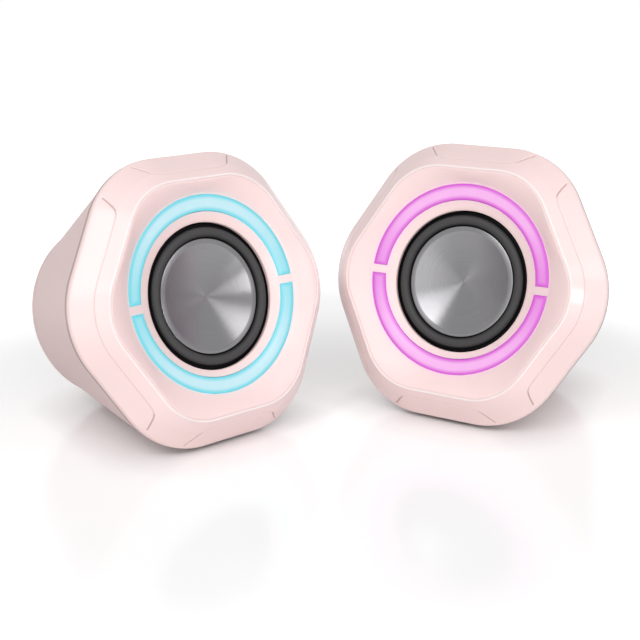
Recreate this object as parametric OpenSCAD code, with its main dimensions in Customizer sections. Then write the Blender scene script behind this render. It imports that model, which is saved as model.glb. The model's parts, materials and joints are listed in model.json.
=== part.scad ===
// A pair of hexagonal desktop speakers, in millimetres.
// The pair stands on the plane z = 0, its faces look towards -Y and +X is to the viewer's right.
// Each speaker is drawn in its own frame: x to the right, y up the face, z straight out of the face,
// with z = 0 in the plane of the rim's front edge.

/* [Pair] */
// Clear width between the two rims
rim_gap = 9.9; // [5:0.1:80]
// Angle by which each face is turned towards the middle
toe_in = 36.4; // [0:0.1:45]
// How much further back the right speaker stands
set_back = 14; // [0:0.5:60]

/* [Rim] */
// Lean of the face, which is also the taper of the shell that lies on the table
face_tilt = 15.4; // [11:0.1:20]
// Width of the rim across its flats
rim_flats = 115; // [106:0.5:135]
// Radius of the rim's corners
rim_corner_r = 35.4; // [24:0.2:44]
// Width of the front edge across its flats
front_flats = 93.8; // [91:0.2:100]
// Radius of the front edge's corners
front_corner_r = 25.2; // [18:0.2:34]
// Width of the lip that frames the panel
rim_lip = 0.7; // [0.4:0.1:1.4]
// Depth of the band behind the bevel
band_depth = 3.2; // [2.6:0.1:6]
// Rounding of the rim's long edges
edge_r = 0.9; // [0.4:0.1:1.2]
// Thickness of the baffle
baffle_t = 2.8; // [2:0.1:4]
// Height of the shell's tongue inside the rim
tongue_h = 1.7; // [1.2:0.1:4]

/* [Front panel] */
// Gap round the panel
panel_gap = 0.15; // [0.1:0.05:0.4]
// Wall of the panel
panel_wall = 2.2; // [1.6:0.1:3]
// Depth of the dish at the driver's opening
dish_depth = 6.4; // [4.8:0.1:8]
// Depth of the dish at the outside of the light guides
ring_depth = 4.2; // [2:0.1:4.6]
// Thickness of the panel where it presses on the driver
hub_t = 1.4; // [1:0.1:3]
// Radius of the driver's opening
opening_r = 29.3; // [26:0.1:31]
// Chamfer round the opening
opening_chamfer = 0.6; // [0.3:0.1:0.9]
// Height of the driver's centre above the centre of the face
driver_rise = 0.4; // [-1:0.1:1.5]

/* [Light guides] */
// Height of the guides' centre above the centre of the face
ring_rise = 1.1; // [0:0.1:2]
// Clear width from the opening to the guides
ring_gap = 3.4; // [2.6:0.1:4.5]
// Width of a crescent in its middle
guide_mid_w = 6.7; // [4.5:0.1:7]
// Width of a crescent at its ends
guide_end_w = 5.9; // [3:0.1:6.2]
// Gap between the two crescents
guide_end_gap = 3.4; // [2:0.1:8]
// Clearance of a guide in its slot
guide_clearance = 0.1; // [0.05:0.01:0.2]
// Thickness of a circuit board
board_t = 1.2; // [0.8:0.1:1.6]
// Side of one square lamp
lamp_w = 2.6; // [1.6:0.1:3]
// Height of one lamp
lamp_h = 0.7; // [0.4:0.1:0.9]
// Lamps on one ring board
lamp_count = 16; // [8:2:20]

/* [Driver] */
// Thickness of the gasket
gasket_t = 0.4; // [0.3:0.1:1]
// Thickness of the rubber surround
surround_t = 0.6; // [0.4:0.1:0.9]
// Width of the half roll
roll_w = 5.8; // [4.5:0.1:7]
// Height of the half roll
roll_h = 2.4; // [1.6:0.1:2.6]
// Width of the surround's glued flanges
glue_w = 1.9; // [1.4:0.1:2.2]
// Thickness of the metal cone
cone_t = 0.4; // [0.3:0.05:0.8]
// Depth of the cone's dish
cone_depth = 2.6; // [1:0.1:3.5]
// Thickness of the basket's flange and wall
basket_t = 1.2; // [0.8:0.1:1.6]
// Height of the basket
basket_h = 9; // [8.5:0.1:12]
// Inner radius of the voice coil's former
coil_r = 9.8; // [8:0.1:11]
// Thickness of the former
former_t = 0.2; // [0.15:0.05:0.4]
// Thickness of the winding
winding_t = 0.45; // [0.3:0.05:0.6]
// Clearance on each side of the coil
coil_gap = 0.4; // [0.3:0.05:0.6]
// Travel of the cone each way, for which the winding stays in the magnet's gap
cone_travel = 2; // [0.5:0.1:2.2]
// Thickness of the centring ring
spider_t = 0.4; // [0.3:0.05:0.8]
// Radius of the top plate and of the yoke
plate_r = 24; // [21:0.5:26]
// Thickness of the top plate
plate_t = 4; // [3:0.1:5]
// Radius of the magnet
magnet_r = 27; // [24:0.5:29]
// Thickness of the magnet
magnet_t = 10; // [7:0.1:14]
// Thickness of the yoke's plate
yoke_t = 4.5; // [3:0.1:6]

/* [Rear shell] */
// Step from the rim in to the shell
shell_step = 0.5; // [0.2:0.1:1.5]
// Wall of the shell
shell_wall = 2.6; // [2:0.1:3]
// Rounding at the back
back_round = 11; // [6:0.5:14]
// Flat width left round the rear panel
back_margin = 3.9; // [3:0.1:8]
// Height of the rubber feet
foot_h = 1.5; // [1:0.1:4]
// Width of a foot
foot_w = 7; // [5:0.5:10]
// Length of the front foot
front_foot_l = 28; // [16:0.5:30]
// Length of the rear foot
rear_foot_l = 16; // [10:0.5:20]

/* [Rear panel] */
// Radius of the rear panel
rear_panel_r = 24; // [23:0.1:28]
// Thickness of the panel's flange
rear_flange_t = 1.2; // [1:0.1:1.6]
// Width of the panel's flange
rear_flange_w = 3.2; // [3:0.1:4]
// Thickness of the panel's inner step
rear_step_t = 2; // [1.2:0.1:3]
// Clear height between the amplifier board and the rear panel
board_space = 9.2; // [8.8:0.1:14]
// Thickness of the amplifier board
amp_board_t = 1.6; // [1:0.1:2]
// Radius of the sockets' bores
socket_r = 1.8; // [1.3:0.05:2]
// Depth of the sockets' bores
socket_depth = 12; // [8:0.1:12]

/* [Controls] */
// Radius of the volume knob
knob_r = 8; // [6:0.1:8.5]
// Height of the volume knob
knob_h = 10; // [8:0.1:16]
// Radius of the volume shaft
shaft_r = 3; // [2:0.1:3.2]
// Radial clearance of the shaft in its bushing
shaft_clearance = 0.05; // [0.02:0.01:0.09]
// Radius of a push button
button_r = 2.5; // [1.8:0.1:2.8]
// Radial clearance of a push button
button_clearance = 0.3; // [0.2:0.05:0.4]
// Travel of a push button
button_travel = 0.8; // [0.4:0.1:1]
// Height that a push button stands out
button_proud = 1.4; // [1.1:0.1:2]

/* [Screws] */
// Radius of the case screws
case_screw_r = 1.5; // [1.2:0.1:1.8]
// Length of the case screws
case_screw_l = 14; // [10:0.5:16]
// Radius of the small screws
small_screw_r = 1; // [0.7:0.05:1.1]
// Length of the small screws
small_screw_l = 6; // [4:0.1:8]
// Clearance of a screw in its hole
screw_clearance = 0.06; // [0.03:0.01:0.1]

/* [Hidden] */
$fn = 64;

left = -1;
right = 1;
corner_steps = 8;
round_steps = 6;

// Overrun of the cutters, glue lines, fits and edges
over = 1;
glue = 0.1;
tongue_gap = 0.2;
plate_gap = 0.15;
head_gap = 0.4;
cone_gap = 0.3;
nearly_round = 0.3;
panel_edge = 0.6;
lamp_gap = 0.2;

pink = [0.97, 0.84, 0.83];
shell_pink = [0.90, 0.76, 0.75];
cyan_light = [0.55, 0.90, 0.98];
magenta_light = [0.98, 0.60, 0.98];
rubber_black = [0.07, 0.07, 0.08];
cone_grey = [0.62, 0.60, 0.61];
steel_grey = [0.70, 0.70, 0.72];
magnet_grey = [0.25, 0.25, 0.27];
paint_black = [0.12, 0.12, 0.13];
copper = [0.72, 0.43, 0.20];
cloth_tan = [0.78, 0.62, 0.36];
board_green = [0.10, 0.35, 0.22];

// Depths behind the plane of the rim's front edge, from the front to the back
hub_back = dish_depth + hub_t;
surround_front = hub_back + gasket_t;
flange_front = surround_front + surround_t;
baffle_front = flange_front + basket_t;
baffle_back = baffle_front + baffle_t;
rim_depth = baffle_back + tongue_h + tongue_gap;
bevel_depth = rim_depth - band_depth;
basket_back = flange_front + basket_h;
magnet_front = basket_back + plate_t;
yoke_front = magnet_front + magnet_t;
yoke_back = yoke_front + yoke_t;

// Radii round the driver's axis
roll_inset = 0.3;
flange_w = 5.7;
neck_w = 0.9;
neck_gap = 0.4;
screw_ring_w = 3.9;
board_gap = 0.6;
board_margin = 0.4;
roll_out_r = opening_r - roll_inset;
roll_in_r = roll_out_r - roll_w;
cone_r = roll_in_r - roll_inset;
flange_r = opening_r + flange_w;
neck_r = opening_r + neck_w;
baffle_hole_r = neck_r + neck_gap;
driver_screw_ring_r = opening_r + screw_ring_w;
winding_r = coil_r + former_t + winding_t;
winding_h = plate_t + 2 * cone_travel;
guide_out_r = opening_r + ring_gap + guide_mid_w;
ring_margin = 0.7;
ring_out_r = guide_out_r + ring_margin;
light_board_in_r = flange_r + board_gap;
light_board_out_r = guide_out_r + board_margin;

// Half widths across the flats
rim_half = rim_flats / 2;
front_half = front_flats / 2;
pocket_half = front_half - rim_lip;
pocket_corner_r = front_corner_r - rim_lip;
panel_half = pocket_half - panel_gap;
panel_corner_r = pocket_corner_r - panel_gap;
rim_wall = 2.6;
socket_half = rim_half - rim_wall;
socket_corner_r = rim_corner_r - rim_wall;
skirt_w = 2.1;
skirt_half = panel_half - skirt_w;
skirt_corner_r = panel_corner_r - skirt_w;

// The shell narrows at the angle of the lean until its back holds the rear panel
shell_half = rim_half - shell_step;
back_flat_r = rear_panel_r + back_margin;
back_half = back_flat_r + back_round;
taper = tan(face_tilt);
taper_end = rim_depth + (shell_half - back_half) / taper;
depth = taper_end + back_round;
panel_back = depth - rear_flange_t - rear_step_t;
amp_board_back = panel_back - board_space;
shell_drop = shell_wall / cos(face_tilt);

// Screws
case_head_w = 1.1;
case_head_h = 1.8;
small_head_w = 0.7;
small_head_h = 1.1;
boss_wall = 2.4;
boss_end = 2;
rear_boss_wall = 1.6;
case_head_r = case_screw_r + case_head_w;
small_head_r = small_screw_r + small_head_w;
case_screw_ring_r = corner_reach(skirt_half, skirt_corner_r) - case_head_r - head_gap;
boss_r = case_screw_r + boss_wall;
boss_back = baffle_front + case_screw_l + boss_end;
rear_screw_ring_r = rear_panel_r - rear_flange_w / 2;
rear_boss_r = small_screw_r + rear_boss_wall;

// Places on the rear panel: x is to the right as seen from the front
knob_at = [0, 8.4];
light_button_at = [-13.6, 5];
source_button_at = [13.6, 5];
aux_at = [-11.4, -8];
link_at = [11.4, -8];
power_at = [0, -12];
left_link_at = [0, -8];
lead_end_at = [0, -12];
board_posts = [[-8, -2.6], [8, -2.6]];
board_inset = 1.6;
board_r = rear_panel_r - rear_flange_w - board_inset;
post_r = 1.8;
post_pin_r = 0.9;
socket_wall = 1.7;
socket_body_r = socket_r + socket_wall;
socket_collar = 1;
socket_proud = 0.6;
socket_floor = 1;
bushing_wall = 0.6;
bushing_r = shaft_r + bushing_wall;
power_w = 9;
power_h = 3.2;
power_wall = 0.35;
switch_h = 3.4;
plunger_h = 0.5;
press_gap = 0.3;

// Where a speaker stands: the centre of its front edge and its turn about the vertical
face_height = foot_h + shell_half * cos(face_tilt) + rim_depth * sin(face_tilt);
rim_reach = corner_reach(rim_half, rim_corner_r) * cos(toe_in) - bevel_depth * cos(face_tilt) * sin(toe_in);
half_spacing = rim_gap / 2 + rim_reach;

// Distance from the centre of a rounded hexagon to the tip of a corner
function corner_reach(half, r) = r + (half - r) / cos(30);

// Points of a rounded hexagon with flat top and bottom, half as wide as half across its flats
function hex_ring(half, r, z, rise = 0) = [
    for (corner = [0:5], s = [0:corner_steps])
        let (reach = (half - r) / cos(30), turn = 60 * corner - 30 + 60 * s / corner_steps)
        [reach * cos(60 * corner) + r * cos(turn), reach * sin(60 * corner) + r * sin(turn) + rise, z]
];

// The same number of points on what is nearly a circle
function round_ring(r, z, rise = 0) = hex_ring(r, r - nearly_round, z, rise);

// A section of the rim, from 0 at its front edge to 1 at its widest
function rim_ring(share, z) = hex_ring(
    front_half + (rim_half - front_half) * share,
    front_corner_r + (rim_corner_r - front_corner_r) * share,
    z
);

rim_rings = [
    rim_ring(0, 0),
    rim_ring(1 - edge_r / bevel_depth, -bevel_depth + edge_r),
    rim_ring(1 - 0.2 * edge_r / bevel_depth, -bevel_depth + 0.1 * edge_r),
    rim_ring(1, -bevel_depth - edge_r),
    rim_ring(1, -rim_depth + edge_r / 2),
    rim_ring(1 - edge_r / bevel_depth / 2, -rim_depth)
];

// Rings of the panel's dish: a slope from 0 at the panel's edge to 1 half way to the light guides, then
// the circle outside the guides and the floor at the driver's opening
dish_mid_depth = 0.62 * ring_depth;
function slope_ring(share) = let (
    half = panel_half - panel_edge,
    r = panel_corner_r - panel_edge
) hex_ring(
    half + (ring_out_r - half) * share / 2,
    r + (ring_out_r - r) * share / 2,
    -dish_mid_depth * share,
    ring_rise * share / 2
);
ring_edge = round_ring(ring_out_r, -ring_depth, ring_rise);
dish_floor = round_ring(opening_r - over, -dish_depth, driver_rise);

// Sections of the shell, drawn in by inset, with its front at front_z and its back wall drawn in too
function shell_rings(inset, front_z, back_inset) = let (
    front_lift = (-front_z - rim_depth) * taper,
    end_half = back_half - inset
) concat(
    [hex_ring(
        shell_half - front_lift - inset,
        rim_corner_r - shell_step - inset,
        front_z
    )],
    [for (s = [0:round_steps])
        let (turn = 90 * s / round_steps, r = max(back_round - inset, 1))
        round_ring(end_half - r * (1 - cos(turn)), -taper_end - (depth - back_inset - taper_end) * sin(turn))]
);

// Where a point of a speaker's own frame lies in the pair, before the pair is centred
function placed(side, p) = let (
    away = p[1] * sin(face_tilt) - p[2] * cos(face_tilt),
    turn = -side * toe_in
) [
    side * half_spacing + p[0] * cos(turn) - away * sin(turn),
    (side == right ? set_back : 0) + p[0] * sin(turn) + away * cos(turn)
];

outline = [
    for (side = [left, right], ring = concat(rim_rings, shell_rings(0, -rim_depth, 0)), p = ring)
        placed(side, p)
];
outline_x = [for (p = outline) p[0]];
outline_y = [for (p = outline) p[1]];
pair_centre = [(min(outline_x) + max(outline_x)) / 2, (min(outline_y) + max(outline_y)) / 2];

// Sets a speaker on the table
module stand(side) {
    translate([
        side * half_spacing - pair_centre[0],
        (side == right ? set_back : 0) - pair_centre[1],
        face_height
    ])
        rotate([0, 0, -side * toe_in])
            rotate([90 - face_tilt, 0, 0])
                children();
}

// A closed skin through rings of points, from the front one to the back one
module loft(rings) {
    n = len(rings[0]);
    last = (len(rings) - 1) * n;
    walls = [
        for (k = [0:len(rings) - 2], i = [0:n - 1])
            let (a = k * n + i, b = k * n + (i + 1) % n)
            each [[a, b, b + n], [a, b + n, a + n]]
    ];
    polyhedron(
        points = [for (ring = rings) each ring],
        faces = concat([[for (i = [n - 1:-1:0]) i]], walls, [[for (i = [0:n - 1]) last + i]])
    );
}

// A closed skin through rings of points that come back to the first one
module loop_loft(rings) {
    n = len(rings[0]);
    count = len(rings);
    polyhedron(
        points = [for (ring = rings) each ring],
        faces = [
            for (k = [0:count - 1], i = [0:n - 1])
                let (
                    next = (k + 1) % count,
                    a = k * n + i,
                    b = k * n + (i + 1) % n,
                    c = next * n + (i + 1) % n,
                    d = next * n + i
                )
                each [[a, b, c], [a, c, d]]
        ]
    );
}

// A disc between two depths
module disc(r, front, back) {
    translate([0, 0, -back])
        cylinder(r = r, h = back - front);
}

// A ring between two depths
module band(r_out, r_in, front, back) {
    difference() {
        disc(r_out, front, back);
        disc(r_in, front - over, back + over);
    }
}

// Puts children at equal steps round the axis, at a given radius
module round_the_axis(count, r, first = 0) {
    for (i = [0:count - 1])
        rotate([0, 0, first + 360 * i / count])
            translate([r, 0, 0])
                children();
}

// A screw whose head's underside is at z = 0 and whose shank points towards -z
module screw(r, length, head_r, head_h) {
    difference() {
        union() {
            cylinder(r = head_r, h = head_h);
            translate([0, 0, -length])
                cylinder(r = r, h = length + head_h / 2);
        }
        translate([0, 0, head_h * 0.45])
            for (turn = [0, 90])
                rotate([0, 0, turn])
                    translate([-head_r * 0.6, -head_r * 0.12, 0])
                        cube([head_r * 1.2, head_r * 0.24, head_h]);
    }
}

// The dish of the front panel and the space in front of it
module dish() {
    loft([slope_ring(-over / dish_mid_depth), slope_ring(1), ring_edge, dish_floor]);
}

// One crescent: a round outside and an inside that is drawn in towards the ends
module crescent(grow, upper) {
    way = upper ? 1 : -1;
    mid_r = guide_out_r - guide_mid_w;
    end_r = guide_out_r - guide_end_w;
    shift = (end_r * end_r - mid_r * mid_r) / (2 * mid_r);
    intersection() {
        difference() {
            circle(r = guide_out_r + grow);
            translate([0, -way * shift])
                circle(r = mid_r + shift - grow);
        }
        translate([-2 * guide_out_r, (upper ? 0 : -2 * guide_out_r) + way * (guide_end_gap / 2 - grow)])
            square([4 * guide_out_r, 2 * guide_out_r]);
    }
}

module light_guide(upper, tint) {
    back = baffle_front - board_t - lamp_h - lamp_gap;
    color(tint)
        difference() {
            translate([0, ring_rise, -back])
                linear_extrude(back)
                    crescent(-guide_clearance, upper);
            dish();
        }
}

// The bevelled frame, with the baffle that carries the driver moulded in
module rim() {
    color(pink)
        difference() {
            loop_loft(concat(
                [hex_ring(pocket_half, pocket_corner_r, 0)],
                rim_rings,
                [
                    hex_ring(socket_half, socket_corner_r, -rim_depth),
                    hex_ring(socket_half, socket_corner_r, -baffle_back),
                    round_ring(baffle_hole_r - over, -baffle_back, driver_rise),
                    round_ring(baffle_hole_r - over, -baffle_front, driver_rise),
                    hex_ring(pocket_half, pocket_corner_r, -baffle_front)
                ]
            ));
            translate([0, driver_rise, 0]) {
                disc(baffle_hole_r, 0, rim_depth);
                round_the_axis(4, driver_screw_ring_r, 45)
                    disc(small_screw_r + screw_clearance, 0, rim_depth);
            }
            round_the_axis(6, case_screw_ring_r)
                disc(case_screw_r + screw_clearance, 0, rim_depth);
        }
}

// The dished panel that covers the baffle and holds the light guides
module front_panel() {
    hub_r = opening_r + glue_w;
    hub_floor = hub_back + 0.3;
    skirt_front = panel_wall + 1.2;
    lip_r = opening_r + 2 * opening_chamfer;
    hub_out_r = flange_r + board_gap;
    color(pink)
        difference() {
            loop_loft([
                hex_ring(panel_half, panel_corner_r, 0),
                hex_ring(panel_half, panel_corner_r, -baffle_front),
                hex_ring(skirt_half, skirt_corner_r, -baffle_front),
                hex_ring(skirt_half, skirt_corner_r, -skirt_front),
                round_ring(ring_out_r, -ring_depth - panel_wall, ring_rise),
                round_ring(hub_r, -hub_floor, driver_rise),
                round_ring(opening_r - over, -hub_floor, driver_rise),
                dish_floor,
                ring_edge,
                slope_ring(1),
                slope_ring(0)
            ]);
            translate([0, driver_rise, 0])
                rotate_extrude()
                    polygon([
                        [0, over],
                        [lip_r, over],
                        [lip_r, opening_chamfer - dish_depth],
                        [opening_r, -opening_chamfer - dish_depth],
                        [opening_r, -hub_back],
                        [hub_out_r, -hub_back],
                        [hub_out_r, -baffle_front - over],
                        [0, -baffle_front - over]
                    ]);
            translate([0, ring_rise, -baffle_front - over])
                linear_extrude(baffle_front + 2 * over) {
                    crescent(0, true);
                    crescent(0, false);
                }
        }
}

// The ring board with its lamps, which sits on the baffle
module light_board() {
    color(board_green)
        difference() {
            translate([0, driver_rise, 0]) {
                band(light_board_out_r, light_board_in_r, baffle_front - board_t, baffle_front);
                round_the_axis(lamp_count, (light_board_in_r + guide_out_r) / 2, 180 / lamp_count)
                    translate([-lamp_w / 2, -lamp_w / 2, board_t / 2 - baffle_front])
                        cube([lamp_w, lamp_w, lamp_h + board_t / 2]);
            }
            round_the_axis(6, case_screw_ring_r)
                disc(case_head_r + head_gap, 0, baffle_front + over);
        }
}

module driver_gasket() {
    color(rubber_black)
        translate([0, driver_rise, 0])
            band(opening_r + glue_w, opening_r, hub_back, surround_front);
}

// The rubber half roll with its outer and inner flanges
module surround() {
    roll_r = roll_w * roll_w / (8 * roll_h) + roll_h / 2;
    mid = -surround_front - surround_t / 2;
    color(rubber_black)
        translate([0, driver_rise, 0])
            rotate_extrude() {
                translate([roll_out_r - surround_t / 2, -flange_front])
                    square([opening_r + glue_w - roll_out_r + surround_t / 2, surround_t]);
                translate([roll_in_r - glue_w, -flange_front])
                    square([glue_w + surround_t / 2, surround_t]);
                intersection() {
                    translate([(roll_in_r + roll_out_r) / 2, mid + roll_h - roll_r])
                        difference() {
                            circle(r = roll_r + surround_t / 2);
                            circle(r = roll_r - surround_t / 2);
                        }
                    translate([roll_in_r - surround_t, -flange_front])
                        square([roll_w + 2 * surround_t, roll_h + 2 * surround_t]);
                }
            }
}

// The cone is a shallow turned dish with a flat rim over the surround's inner flange: its depth at a radius
cone_dish_r = roll_in_r - glue_w - roll_inset;
function cone_front(r) =
    surround_front - cone_gap - cone_t + cone_depth * max(0, 1 - pow(r / cone_dish_r, 2));

module cone() {
    steps = 12;
    radii = [for (s = [0:steps]) cone_dish_r * s / steps, cone_r];
    color(cone_grey)
        translate([0, driver_rise, 0])
            rotate_extrude()
                polygon(concat(
                    [for (r = radii) [r, -cone_front(r)]],
                    [for (i = [len(radii) - 1:-1:0]) [radii[i], -cone_front(radii[i]) - cone_t]]
                ));
}

// The coil's former, glued to the back of the cone, with the winding in the magnet's gap
module voice_coil() {
    former_front = cone_front(coil_r) + cone_t + glue;
    former_tail = 0.4;
    winding_mid = basket_back + plate_t / 2;
    winding_back = winding_mid + winding_h / 2;
    color(copper)
        translate([0, driver_rise, 0]) {
            band(coil_r + former_t, coil_r, former_front, winding_back + former_tail);
            band(winding_r, coil_r, winding_mid - winding_h / 2, winding_back);
        }
}

// The corrugated ring that centres the coil
spider_front = flange_front + 0.55 * basket_h;
spider_seat_w = 2;
spider_out_r = neck_r - 8;
spider_in_r = coil_r + former_t + glue;
module spider() {
    waves = 3;
    steps = 8 * waves;
    wave_h = 0.5;
    span = spider_out_r - spider_seat_w - spider_in_r;
    function wave(s) = wave_h * sin(360 * waves * s / steps);
    color(cloth_tan)
        translate([0, driver_rise, 0])
            rotate_extrude()
                polygon(concat(
                    [for (s = [0:steps]) [spider_in_r + span * s / steps, wave(s) - spider_front]],
                    [[spider_out_r, -spider_front], [spider_out_r, -spider_front - spider_t]],
                    [for (s = [steps:-1:0])
                        [spider_in_r + span * s / steps, wave(s) - spider_front - spider_t]]
                ));
}

// The pressed frame that carries the surround, the centring ring and the magnet, with the terminal below
terminal_r = plate_r + 3;
terminal_h = 2.4;
module basket() {
    mouth_r = opening_r - 0.8;
    shelf = spider_front + spider_t;
    shelf_in_r = spider_out_r - spider_seat_w + 0.2;
    shelf_out_r = spider_out_r + 0.6;
    seat_in_r = winding_r + 1.6;
    seat_front = basket_back - basket_t;
    seat_out_r = plate_r + 0.8;
    window = [10, 16];
    window_front = baffle_front + 0.6;
    window_back = seat_front - 0.6;
    terminal_w = 6;
    color(paint_black)
        difference() {
            translate([0, driver_rise, 0]) {
                rotate_extrude()
                    polygon([
                        [mouth_r, -flange_front],
                        [flange_r, -flange_front],
                        [flange_r, -baffle_front],
                        [neck_r, -baffle_front],
                        [seat_out_r, -basket_back],
                        [seat_in_r, -basket_back],
                        [seat_in_r, -seat_front],
                        [shelf_in_r, -seat_front],
                        [shelf_in_r, -shelf],
                        [shelf_out_r, -shelf],
                        [mouth_r, -baffle_front]
                    ]);
                translate([-terminal_w / 2, -terminal_r, -basket_back])
                    cube([terminal_w, terminal_r - plate_r + over, terminal_h]);
            }
            translate([0, driver_rise, 0]) {
                round_the_axis(4, driver_screw_ring_r, 45)
                    disc(small_screw_r + screw_clearance, 0, rim_depth);
                round_the_axis(3, neck_r)
                    translate([-window[0] / 2, -window[1] / 2, -window_back])
                        cube([window[0], window[1], window_back - window_front]);
            }
        }
}

module top_plate() {
    color(steel_grey)
        translate([0, driver_rise, 0])
            band(plate_r, winding_r + coil_gap, basket_back, magnet_front);
}

module magnet() {
    magnet_inset = 3.2;
    color(magnet_grey)
        translate([0, driver_rise, 0])
            band(magnet_r, winding_r + magnet_inset, magnet_front, yoke_front);
}

module yoke() {
    pole_proud = 0.5;
    color(steel_grey)
        translate([0, driver_rise, 0]) {
            disc(plate_r, yoke_front, yoke_back);
            disc(coil_r - coil_gap, basket_back - pole_proud, yoke_front + over);
        }
}

module driver_screws() {
    short_of_back = 0.4;
    color(steel_grey)
        translate([0, driver_rise, -flange_front])
            round_the_axis(4, driver_screw_ring_r, 45)
                screw(small_screw_r, basket_t + baffle_t - short_of_back, small_head_r, hub_t / 2);
}

module case_screws() {
    color(steel_grey)
        translate([0, 0, -baffle_front])
            round_the_axis(6, case_screw_ring_r)
                screw(case_screw_r, case_screw_l, case_head_r, case_head_h);
}

// The tapered housing with its tongue, screw bosses and the seat of the rear panel
module rear_shell() {
    tongue_half = socket_half - plate_gap;
    tongue_corner_r = socket_corner_r - plate_gap;
    tongue_in_half = socket_half - shell_wall;
    tongue_in_corner_r = socket_corner_r - shell_wall;
    tongue_root = rim_depth + 3;
    tongue_taper = 1.2;
    web_t = 2.4;
    web_reach = 20;
    skin = 0.4;
    boss_floor = 1.5;
    rear_boss_front = depth - shell_wall - small_screw_l - 1;
    seat_front = depth - rear_flange_t - small_screw_l - 4;
    color(shell_pink)
        difference() {
            union() {
                difference() {
                    loft(shell_rings(0, -rim_depth, 0));
                    loft(shell_rings(shell_drop, -rim_depth + over, shell_wall));
                }
                difference() {
                    loft([
                        hex_ring(tongue_half, tongue_corner_r, -rim_depth + tongue_h),
                        hex_ring(tongue_half - tongue_taper, tongue_corner_r, -tongue_root)
                    ]);
                    loft([
                        hex_ring(tongue_in_half, tongue_in_corner_r, over - baffle_back),
                        hex_ring(tongue_in_half, tongue_in_corner_r, -tongue_root - over)
                    ]);
                }
                intersection() {
                    round_the_axis(6, case_screw_ring_r) {
                        disc(boss_r, baffle_back, boss_back);
                        translate([0, -web_t / 2, -boss_back])
                            cube([web_reach, web_t, boss_back - rim_depth - over]);
                    }
                    union() {
                        loft(shell_rings(skin, -rim_depth - skin, skin));
                        disc(case_screw_ring_r + boss_r + over, baffle_back, rim_depth + over);
                    }
                }
                round_the_axis(4, rear_screw_ring_r, 45)
                    disc(rear_boss_r, rear_boss_front, depth - shell_wall / 2);
            }
            round_the_axis(6, case_screw_ring_r)
                disc(case_screw_r + screw_clearance, 0, boss_back - boss_floor);
            disc(rear_panel_r + plate_gap, depth - rear_flange_t, depth + over);
            disc(rear_panel_r - rear_flange_w + plate_gap, seat_front, depth + over);
            round_the_axis(4, rear_screw_ring_r, 45)
                disc(small_screw_r + screw_clearance, depth - rear_flange_t - small_screw_l, depth);
        }
}

// The plain round plate in the back, without its holes
module rear_plate() {
    union() {
        disc(rear_panel_r, depth - rear_flange_t, depth);
        disc(rear_panel_r - rear_flange_w, panel_back, depth - rear_flange_t / 2);
    }
}

module rear_screw_holes() {
    round_the_axis(4, rear_screw_ring_r, 45)
        disc(small_screw_r + screw_clearance, panel_back, depth + over);
}

// A hole through the rear panel
module panel_hole(at, r) {
    translate([at[0], at[1], 0])
        disc(r, panel_back - over, depth + over);
}

module left_panel() {
    color(shell_pink)
        difference() {
            rear_plate();
            rear_screw_holes();
            panel_hole(left_link_at, socket_body_r + plate_gap);
        }
}

// The amplifier's rear panel, with posts that carry the board
module right_panel() {
    pin_proud = 0.8;
    color(shell_pink)
        difference() {
            union() {
                rear_plate();
                for (at = board_posts)
                    translate([at[0], at[1], 0]) {
                        disc(post_r, amp_board_back, panel_back + over);
                        disc(post_pin_r, amp_board_back - amp_board_t - pin_proud, amp_board_back + over);
                    }
            }
            rear_screw_holes();
            panel_hole(knob_at, bushing_r + plate_gap);
            panel_hole(light_button_at, button_r + button_clearance);
            panel_hole(source_button_at, button_r + button_clearance);
            panel_hole(aux_at, socket_body_r + plate_gap);
            panel_hole(link_at, socket_body_r + plate_gap);
            translate([power_at[0], power_at[1], -depth - over])
                linear_extrude(depth - panel_back + 2 * over)
                    long_hole(power_w + 2 * plate_gap, power_h + 2 * plate_gap);
        }
}

// A slot with round ends, as the outline of the power socket
module long_hole(w, h) {
    square([w - h, h], center = true);
    for (end = [-1, 1])
        translate([end * (w - h) / 2, 0])
            circle(d = h);
}

module rear_screws() {
    color(steel_grey)
        translate([0, 0, -depth])
            mirror([0, 0, 1])
                round_the_axis(4, rear_screw_ring_r, 45)
                    screw(small_screw_r, small_screw_l, small_head_r, small_head_h);
}

// The rubber strips under the shell, in the frame of the pair's table
module feet() {
    front_depth = rim_depth + foot_w;
    rear_depth = taper_end - foot_w;
    color(rubber_black)
        difference() {
            for (foot = [[front_depth, front_foot_l], [rear_depth, rear_foot_l]])
                translate([0, -shell_half + (foot[0] - rim_depth) * taper, -foot[0]])
                    rotate([face_tilt - 90, 0, 0])
                        translate([0, 0, -foot_h])
                            linear_extrude(foot_h + over)
                                long_hole(foot[1], foot_w);
            loft(shell_rings(0, -rim_depth, 0));
        }
}

// A round socket that goes through the rear panel, with a collar behind it
module socket(at, front) {
    mouth = depth + socket_proud;
    color(rubber_black)
        translate([at[0], at[1], 0])
            difference() {
                union() {
                    disc(socket_body_r, front, mouth);
                    disc(socket_body_r + socket_collar, front, panel_back);
                }
                disc(socket_r, mouth - socket_depth, mouth + over);
            }
}

// The left speaker's socket stands free, with a floor behind its bore
left_socket_front = depth + socket_proud - socket_depth - socket_floor;

// Points along the driver's lead, from the side of the basket to what it feeds
module lead(points, r) {
    sides = 8;
    rings = [
        for (i = [0:len(points) - 1])
            let (
                a = points[max(i - 1, 0)],
                b = points[min(i + 1, len(points) - 1)],
                way = (b - a) / norm(b - a),
                across = cross(way, [1, 0, 0]) / norm(cross(way, [1, 0, 0])),
                up = cross(across, way)
            )
            [for (s = [0:sides - 1])
                points[i] + r * (cos(360 * s / sides) * across + sin(360 * s / sides) * up)]
    ];
    loft(rings);
}

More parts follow.
